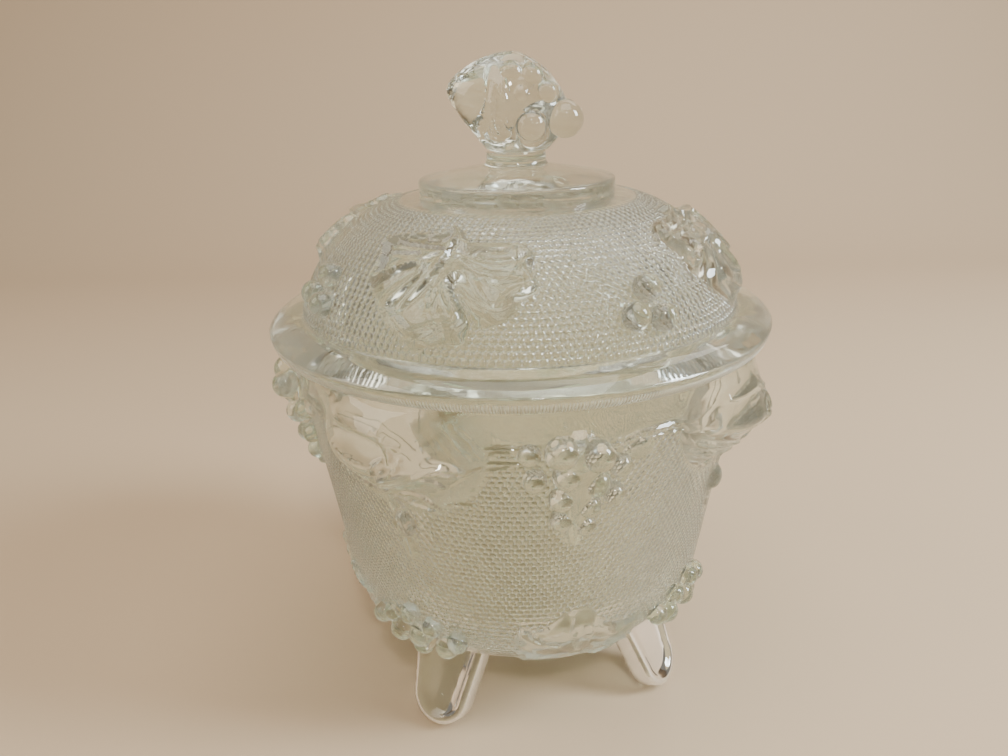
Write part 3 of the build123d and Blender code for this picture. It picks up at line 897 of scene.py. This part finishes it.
# Thin curled stems above the lid's grapes
STEM_HEIGHT = 0.5
STEM_WIDTH = 0.35
LID_STEMS = (
    ((-11.5, 17.5), (-10.6, 21), (-9.2, 23.2), (-7.9, 25.4)),
    ((-10.8, 24.4), (-9.9, 26.6), (-9, 28.7), (-7.6, 30.6)),
)


def lid_leaf(across, down, thickness):
    """A lobed vine leaf with sloping sides, a raised rim, a slot between two lobes and grooved veins."""
    foot, top = to_outline(across, down, LID_LEAF_FOOT), to_outline(across, down, LID_LEAF_TOP)
    away = to_curve(across, down, LID_LEAF_SLOT)
    foot, top = np.minimum(foot, away - SLOT_HALF_FOOT), np.minimum(top, away - SLOT_HALF_TOP)
    inner, outer = np.clip(foot, 0, None), np.clip(-top, 0, None)
    body = thickness * read_off(down, LID_LEAF_SHARES) * inner / (inner + outer + 1e-6)
    rim = (LID_RIM * bell(top - 0.6, 0.65) - LID_HOLLOW * smooth_step(top, 1.4, 2.6)) * (foot > 0)
    raised = LID_RIDGE * ridges(across, down, LID_LEAF_RIDGES, FOLD_WIDTH) * smooth_step(top, 0, 0.8)
    veins = ridges(across, down, LID_LEAF_VEINS, 0.55, trim=(0.6, 1.3, 0.6))
    return np.maximum(body + rim + raised - LID_VEIN * veins * smooth_step(top, 0, 1.2), 0)


# Lengths down the dome and heights above its foot between which the lid's pebbles fade in
DOME_GROUND_DOWN = (4.0, 7.0)
DOME_GROUND_FOOT = (-0.2, 0.4)
# Radii and heights above the rim between which the painted highlight stripes on the ribs fade in
RIB_HIGHLIGHT_OUT = (59.6, 60.6)
RIB_HIGHLIGHT_UP = (3.2, 2.4)


def dome_pebbles(nodes, place, dome):
    """Height of the pebbles, share of pebbled ground and share of painted highlight stripes on the ribs, 0
    to 1.
    """
    row = dome.sizes.pebble_row
    r, turn, z = nodes.around(place)
    angle = nodes.math("ARCTAN2", z - dome.centre_z, r - dome.centre_r)
    down = (dome.top - angle) * dome.arc_radius

    def columns_at(ring):
        """Pebbles round a ring, with an even pitch."""
        ring_angle = dome.top - ring * (row / dome.arc_radius)
        ring_r = nodes.math("COSINE", ring_angle) * dome.arc_radius + dome.centre_r
        return nodes.math("ROUND", ring_r * (tau / (row * 1.2)))

    cap = pebbles(nodes, down, turn, row, columns_at)
    ground = on_ground(nodes, off_circle(nodes, r, z, dome.centre_r, dome.centre_z, dome.arc_radius))
    low, high = (dome.base_z + height for height in DOME_GROUND_FOOT)
    ground = ground * nodes.step(down, *DOME_GROUND_DOWN) * nodes.step(z, low, high)
    # Painted highlight: a whitish stripe along each rib
    rib_highlight_stripes = nodes.math("COSINE", turn * LID_COLUMNS) * 0.4 + 0.6
    high, low = (DISH_TOP + height for height in RIB_HIGHLIGHT_UP)
    return cap, ground, rib_highlight_stripes * nodes.step(r, *RIB_HIGHLIGHT_OUT) * nodes.step(z, high, low)


KNOB_TURN = -13.2
# Across and above the neck, clockwise from the neck's left
KNOB_OUTLINE = (
    (-6.4, 0), (-9.2, 3.6), (-12.7, 7.7), (-14.5, 10.5), (-16.4, 13.5), (-16.3, 15.6), (-14.9, 17.5),
    (-12.7, 19.2), (-9.5, 21), (-6.4, 22.2), (-3, 22.9), (0, 23.1), (2.6, 22.2), (5.4, 20.6),
    (8.2, 18.4), (10.4, 15.6), (12.4, 12.2), (13, 8.4), (12, 5.2), (9.4, 2.4), (6.8, 0),
)
# Grapes on both faces: across, above the neck, depth behind the face, radius
KNOB_GRAPES = (
    (3.6, 6.6, 3, 4), (11.8, 7.6, 5.6, 4.4), (7.4, 13.8, 4.6, 2.9), (3.8, 17.4, 5.4, 3.1),
    (-0.8, 18, 5.2, 3.1), (1.2, 13.4, 3.2, 2.5),
)
# Ridges down the knob's folded leaf
KNOB_RIDGES = (
    ((-4.6, 16.4), (-5.5, 12.7), (-5.7, 8.5), (-4.7, 5), (-3.8, 1.6)),
    ((-4.1, 16.1), (-2, 13.3), (-2.4, 11), (-1.8, 8.2), (-0.7, 3.6), (0.2, 1.4)),
    ((-3.8, 7.5), (-3.1, 4.7), (-2, 1.6)),
)
KNOB_CENTRE = np.array([-2.0, 10.5])
KNOB_HEIGHT = 23.0
# Above the neck and share of the knob's thickness
KNOB_WAIST = ((0, 0.68), (4, 0.86), (10, 1), (17, 0.94), (24, 0.62))
KNOB_ROUNDNESS = 0.85
KNOB_RIDGE = 0.7
KNOB_RIDGE_WIDTH = 0.55
# How far the ground of the faces is sunk, and the root in the neck
FACE_SUNK = 0.6
ROOT_SUNK = 0.4


def knob_mesh(sizes, neck_z):
    """A smooth leaf folded round a bunch, with thin ridges on both faces."""
    loop = rounded(KNOB_OUTLINE)
    half = sizes.knob_thickness / 2
    loops = []
    for angle in np.linspace(-85, 85, 71):
        bulge = radians(angle)
        across, up = (KNOB_CENTRE + (loop - KNOB_CENTRE) * cos(bulge) ** KNOB_ROUNDNESS).T
        side = np.sign(bulge) * smooth_step(abs(angle), 10, 40)
        relief = KNOB_RIDGE * ridges(across, up, KNOB_RIDGES, KNOB_RIDGE_WIDTH) - FACE_SUNK
        depth = half * sin(bulge) * read_off(up, KNOB_WAIST) + side * relief
        sunk = ROOT_SUNK * (1 - up / KNOB_HEIGHT)
        loops.append(np.stack([across, depth, up + neck_z - sunk], 1))
    points, faces = lofted(loops)
    return new_object("knob", spun(points, KNOB_TURN), faces)


def knob_grapes(sizes, neck_z):
    """Centres and radii of the grapes on both faces of the knob."""
    half = sizes.knob_thickness / 2
    centres, radii = [], []
    for across, up, depth, radius in KNOB_GRAPES:
        centres += [(across, depth - half, neck_z + up), (across, half - depth, neck_z + up)]
        radii += [radius, radius]
    return spun(np.array(centres), KNOB_TURN), np.array(radii)


# Geometry Nodes


def new_tree(name, inputs):
    """An empty tree from geometry to geometry, with named inputs."""
    tree = bpy.data.node_groups.new(name, "GeometryNodeTree")
    for label, kind in {"Geometry": "Geometry", **inputs}.items():
        tree.interface.new_socket(label, in_out="INPUT", socket_type="NodeSocket" + kind)
    tree.interface.new_socket("Geometry", in_out="OUTPUT", socket_type="NodeSocketGeometry")
    nodes = Nodes(tree)
    start = nodes.node("NodeGroupInput")
    return nodes, {socket.name: Value(nodes, socket) for socket in start.outputs if socket.name}


def finish_tree(nodes, geometry, material):
    """Ends a tree in real, smooth geometry with its material."""
    real = nodes.value("GeometryNodeRealizeInstances", {"Geometry": geometry})
    smooth = nodes.value("GeometryNodeSetShadeSmooth", {"Geometry": real})
    dressed = nodes.value("GeometryNodeSetMaterial", {"Geometry": smooth, "Material": material})
    nodes.node("NodeGroupOutput", {0: dressed})
    return nodes.tree


def grape_tree():
    """Presses spheres at marked places, and one more mesh, into the glass."""
    inputs = {"Places": "Object", "Added glass": "Object", "Segments": "Int", "Rings": "Int"}
    nodes, given = new_tree("press_grapes", {**inputs, "Glass": "Material"})
    info, attribute = "GeometryNodeObjectInfo", "GeometryNodeInputNamedAttribute"
    places = nodes.value(info, {"Object": given["Places"]}, "Geometry")
    added = nodes.value(info, {"Object": given["Added glass"]}, "Geometry")
    ball = {"Segments": given["Segments"], "Rings": given["Rings"], "Radius": 1.0}
    sockets = {
        "Points": places,
        "Instance": nodes.value("GeometryNodeMeshUVSphere", ball),
        "Scale": nodes.value(attribute, {"Name": "radius"}, data_type="FLOAT"),
        "Rotation": nodes.value(attribute, {"Name": "lean"}, data_type="FLOAT_VECTOR"),
    }
    grapes = nodes.value("GeometryNodeInstanceOnPoints", sockets)
    union = nodes.node("GeometryNodeMeshBoolean", operation="UNION", solver="MANIFOLD")
    for geometry in (given["Geometry"], added, grapes):
        nodes.tree.links.new(geometry.socket, union.inputs[1])
    return finish_tree(nodes, Value(nodes, union.outputs[0]), given["Glass"])


def pebble_tree(name, pattern, shape):
    """Raises the pebbles of the ground off the glass."""
    nodes, given = new_tree(name, {"Pebble height": "Float", "Glass": "Material"})
    cap, ground, _ = pattern(nodes, nodes.value("GeometryNodeInputPosition"), shape)
    height = cap * ground * given["Pebble height"]
    normal = nodes.value("GeometryNodeInputNormal")
    offset = nodes.value("ShaderNodeVectorMath", {0: normal, "Scale": height}, operation="SCALE")
    moved = nodes.value("GeometryNodeSetPosition", {"Geometry": given["Geometry"], "Offset": offset})
    return finish_tree(nodes, moved, given["Glass"])


def through_tree(piece, tree, values):
    """Replaces a piece's mesh by what a tree makes of it."""
    modifier = piece.modifiers.new(tree.name, "NODES")
    modifier.node_group = tree
    for item in tree.interface.items_tree:
        if item.in_out == "INPUT" and item.name in values:
            modifier[item.identifier] = values[item.name]
    bpy.context.view_layer.update()
    evaluated = piece.evaluated_get(bpy.context.evaluated_depsgraph_get())
    mesh = bpy.data.meshes.new_from_object(evaluated)
    piece.modifiers.clear()
    piece.data = mesh


def places_object(name, centres, radii):
    """Loose points in metres that carry each grape's radius and its lean."""
    mesh = bpy.data.meshes.new(name)
    mesh.from_pydata(centres * MM, [], [])
    mesh.attributes.new("radius", "FLOAT", "POINT").data.foreach_set("value", radii * MM)
    azimuth = np.arctan2(centres[:, 0], -centres[:, 1])
    lean = np.stack([np.full(len(radii), pi / 2), np.zeros(len(radii)), azimuth], 1)
    mesh.attributes.new("lean", "FLOAT_VECTOR", "POINT").data.foreach_set("vector", lean.ravel())
    return linked(name, mesh)


# The glass


# Degrees between faces from which an edge is sharp
SHARP_FROM = 50
# Heights of the pebbles, waves and grain that the light sees
PEBBLE_BUMP = 0.36
WAVE_BUMP = 0.25
GRAIN_BUMP = 0.006


def new_material(name):
    """An empty material, its nodes and the place on the object."""
    material = bpy.data.materials.new(name)
    material.use_nodes = True
    material.node_tree.nodes.clear()
    nodes = Nodes(material.node_tree)
    return material, nodes, nodes.value("ShaderNodeTexCoord", output="Object")


def glass_material(name, look, pattern, shape):
    """Clear pressed glass with pebbles, slight waves and uneven polish, with a painted highlight in the
    grooves and in stripes on the ribs, and an even haze.
    """
    material, nodes, place = new_material(name)
    cap, ground, rib_highlight_share = pattern(nodes, place, shape)
    waves = nodes.value("ShaderNodeTexNoise", {"Vector": place, "Scale": 90.0, "Detail": 2.0})
    grain = nodes.value("ShaderNodeTexNoise", {"Vector": place, "Scale": 900.0, "Detail": 3.0})
    # Grooves between the pebbles, where the painted highlight goes
    groove = nodes.step(cap, 0.4, 0.15) * ground
    height = (cap * ground * PEBBLE_BUMP + waves * WAVE_BUMP + grain * GRAIN_BUMP) * MM
    bumps = nodes.value("ShaderNodeBump", {"Height": height, "Distance": 1.0, "Strength": 1.0})
    glass = {
        "Base Color": (*look.tint, 1.0),
        "Roughness": look.roughness + ground * 0.05 + grain * 0.03,
        "IOR": look.ior,
        "Transmission Weight": 1.0,
        "Normal": bumps,
    }
    clear = nodes.value("ShaderNodeBsdfPrincipled", glass)
    # A whitish surface mixed in: painted highlight in the grooves and on the ribs, and an even haze over
    # all the glass
    white = {"Base Color": (*look.highlight_and_haze_colour, 1.0), "Roughness": 0.5, "Normal": bumps}
    painted_highlight = nodes.value("ShaderNodeBsdfPrincipled", white)
    highlight_and_haze = groove * look.painted_highlight + rib_highlight_share * RIB_HIGHLIGHT + look.haze
    mixed = nodes.value("ShaderNodeMixShader", {0: highlight_and_haze, 1: clear, 2: painted_highlight})
    nodes.node("ShaderNodeOutputMaterial", {"Surface": mixed})
    return material


def made_of_glass(node, shape, pattern, added, segments, rings):
    """A piece of glass with grapes and one more mesh pressed in, and with its pebbled ground."""
    look = bpy.context.scene.glass_dish_look
    material = glass_material(node + "_glass", look, pattern, shape)
    piece = new_object(node + "_pressing", *turned(shape.outline, shape.stretches(), shape.relief))
    places = places_object(node + "_places", *shape.grapes())
    values = {"Places": places, "Added glass": added, "Segments": segments, "Rings": rings}
    through_tree(piece, grape_tree(), {**values, "Glass": material})
    for spare in (places, added):
        bpy.data.objects.remove(spare)
    tree = pebble_tree(node + "_ground", pattern, shape)
    through_tree(piece, tree, {"Pebble height": shape.sizes.pebble_height * MM, "Glass": material})
    piece.data.set_sharp_from_angle(angle=radians(SHARP_FROM))
    return piece


def dressed(piece, body, node):
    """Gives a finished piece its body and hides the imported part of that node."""
    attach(piece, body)
    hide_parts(node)


# Operators


BOUNCES = 24


class GLASSDISH_OT_stage(bpy.types.Operator):
    """Makes the pale floor and backdrop, the softboxes and the camera"""

    bl_idname = "glassdish.stage"
    bl_label = "Stage"

    def execute(self, context):
        look = context.scene.glass_dish_stage
        make_backdrop(look)
        make_lights(look)
        make_camera()
        # Light turns many times inside cast glass before it leaves
        for limit in ("max_bounces", "glossy_bounces", "transmission_bounces"):
            setattr(context.scene.cycles, limit, BOUNCES)
        return {"FINISHED"}


class GLASSDISH_OT_dish(bpy.types.Operator):
    """Builds the footed bowl with its leaves, bunches and pebbled ground"""

    bl_idname = "glassdish.dish"
    bl_label = "Dish"

    def execute(self, context):
        bowl = Bowl(in_mm(context.scene.glass_dish_sizes))
        piece = made_of_glass("dish", bowl, bowl_pebbles, foot_mesh(bowl.sizes), segments=18, rings=12)
        dressed(piece, "dish", "dish")
        return {"FINISHED"}


class GLASSDISH_OT_lid(bpy.types.Operator):
    """Builds the domed lid with its leaves, bunches, pebbled ground and knob"""

    bl_idname = "glassdish.lid"
    bl_label = "Lid"

    def execute(self, context):
        dome = Dome(in_mm(context.scene.glass_dish_lid))
        knob = knob_mesh(dome.sizes, dome.neck_z)
        piece = made_of_glass("lid", dome, dome_pebbles, knob, segments=32, rings=18)
        dressed(piece, "lid", "lid")
        return {"FINISHED"}


# The stage


def plain_material(name, colour, roughness):
    """A dull even surface."""
    material, nodes, place = new_material(name)
    grain = nodes.value("ShaderNodeTexNoise", {"Vector": place, "Scale": 14.0, "Detail": 4.0})
    plain = {"Base Color": (*colour, 1.0), "Roughness": roughness + grain * 0.1, "Specular IOR Level": 0.2}
    nodes.node("ShaderNodeOutputMaterial", {"Surface": nodes.value("ShaderNodeBsdfPrincipled", plain)})
    return material


def make_backdrop(look):
    """A pale floor that sweeps up into a backdrop behind the dish."""
    half, front, behind, bend, top = 2500, -1500, 450, 250, 1600
    section = [(front, 0), (behind, 0)]
    section += [(behind + bend * sin(a), bend * (1 - cos(a))) for a in np.linspace(0, pi / 2, 17)[1:]]
    section.append((behind + bend, top))
    count = len(section)
    points = np.array([(x, y, z) for x in (-half, half) for y, z in section])
    faces = [(i, count + i, count + i + 1, i + 1) for i in range(count - 1)]
    floor = new_object("floor", spun(points, -VIEW_TURN), faces)
    floor.data.materials.append(plain_material("floor_paper", look.floor, 0.6))


# Name, azimuth from the view, height angle, distance, width, height, share of the power, colour
SOFTBOXES = (
    ("window", 78, 36, 900, 230, 380, 0.46, (0.84, 0.93, 1.0)),
    ("lamp", 6, 47, 900, 80, 80, 0.1, (1.0, 0.97, 0.9)),
    ("fill", -75, 40, 1000, 500, 600, 0.11, (1.0, 0.93, 0.82)),
    ("top", 10, 84, 900, 700, 700, 0.18, (1.0, 0.97, 0.92)),
    ("rear", 165, 45, 1100, 900, 500, 0.16, (1.0, 0.96, 0.9)),
)
SURROUND_COLOUR = (0.8, 0.72, 0.6, 1.0)
SURROUND_STRENGTH = 0.25


def make_lights(look):
    """Soft area lights about the dish, and a dim even surround."""
    aim = Vector((0, 0, 80)) * MM
    for name, azimuth, rise, distance, width, height, share, colour in SOFTBOXES:
        light = bpy.data.lights.new(name, "AREA")
        light.shape = "RECTANGLE"
        light.size, light.size_y = width * MM, height * MM
        light.energy = look.light * share
        light.color = colour
        turn, lift = radians(azimuth - VIEW_TURN), radians(rise)
        spot = Vector((sin(turn) * cos(lift), -cos(turn) * cos(lift), sin(lift))) * distance * MM
        lamp = linked(name, light)
        lamp.location = spot
        lamp.rotation_euler = (aim - spot).to_track_quat("-Z", "Y").to_euler()
    world = bpy.data.worlds.new("surround")
    world.use_nodes = True
    background = world.node_tree.nodes["Background"]
    background.inputs["Color"].default_value = SURROUND_COLOUR
    background.inputs["Strength"].default_value = SURROUND_STRENGTH
    bpy.context.scene.world = world


# The view of the photograph: distance and height of the eye, its angles in degrees and its lens
EYE_DISTANCE = 211.0
EYE_HEIGHT = 164.9
EYE_PITCH = 21.2
EYE_YAW = -1.20
EYE_ROLL = 1.51
FOCAL_PIXELS = 836.0
IMAGE_WIDTH = 1008
SENSOR_WIDTH = 36.0


def make_camera():
    """The camera at the photograph's place and angle."""
    camera = bpy.data.cameras.new("camera")
    camera.sensor_width = SENSOR_WIDTH
    camera.lens = FOCAL_PIXELS * SENSOR_WIDTH / IMAGE_WIDTH
    camera.clip_start, camera.clip_end = 0.01, 20
    made = linked("camera", camera)
    turns = (("Z", -VIEW_TURN), ("Z", -EYE_YAW), ("X", 90 - EYE_PITCH), ("Z", -EYE_ROLL))
    view, yaw, pitch, roll = (Matrix.Rotation(radians(angle), 4, axis) for axis, angle in turns)
    place = Matrix.Translation(Vector((0, -EYE_DISTANCE, EYE_HEIGHT)) * MM)
    made.matrix_world = view @ place @ yaw @ pitch @ roll
    bpy.context.scene.camera = made


class GLASSDISH_PT_panel(bpy.types.Panel):
    """Buttons and sizes of the glass dish"""

    bl_idname = "GLASSDISH_PT_panel"
    bl_label = "Glass Dish"
    bl_space_type = "VIEW_3D"
    bl_region_type = "UI"
    bl_category = "Glass Dish"

    def draw(self, context):
        for operator in OPERATORS:
            self.layout.operator(operator.bl_idname)
        for group in GROUPS:
            settings = getattr(context.scene, group)
            for name in settings.__annotations__:
                self.layout.prop(settings, name)


OPERATORS = (GLASSDISH_OT_stage, GLASSDISH_OT_dish, GLASSDISH_OT_lid)
GROUPS = {
    "glass_dish_sizes": DishSizes,
    "glass_dish_lid": LidSizes,
    "glass_dish_look": GlassLook,
    "glass_dish_stage": StageLook,
}


def register():
    for group in GROUPS.values():
        bpy.utils.register_class(group)
    for name, group in GROUPS.items():
        setattr(bpy.types.Scene, name, PointerProperty(type=group))
    for kind in (*OPERATORS, GLASSDISH_PT_panel):
        bpy.utils.register_class(kind)


def unregister():
    for kind in (GLASSDISH_PT_panel, *reversed(OPERATORS)):
        bpy.utils.unregister_class(kind)
    for name in GROUPS:
        delattr(bpy.types.Scene, name)
    for group in reversed(GROUPS.values()):
        bpy.utils.unregister_class(group)


def main():
    register()
    bpy.ops.glassdish.stage()
    bpy.ops.glassdish.dish()
    bpy.ops.glassdish.lid()


if __name__ == "__main__":
    main()
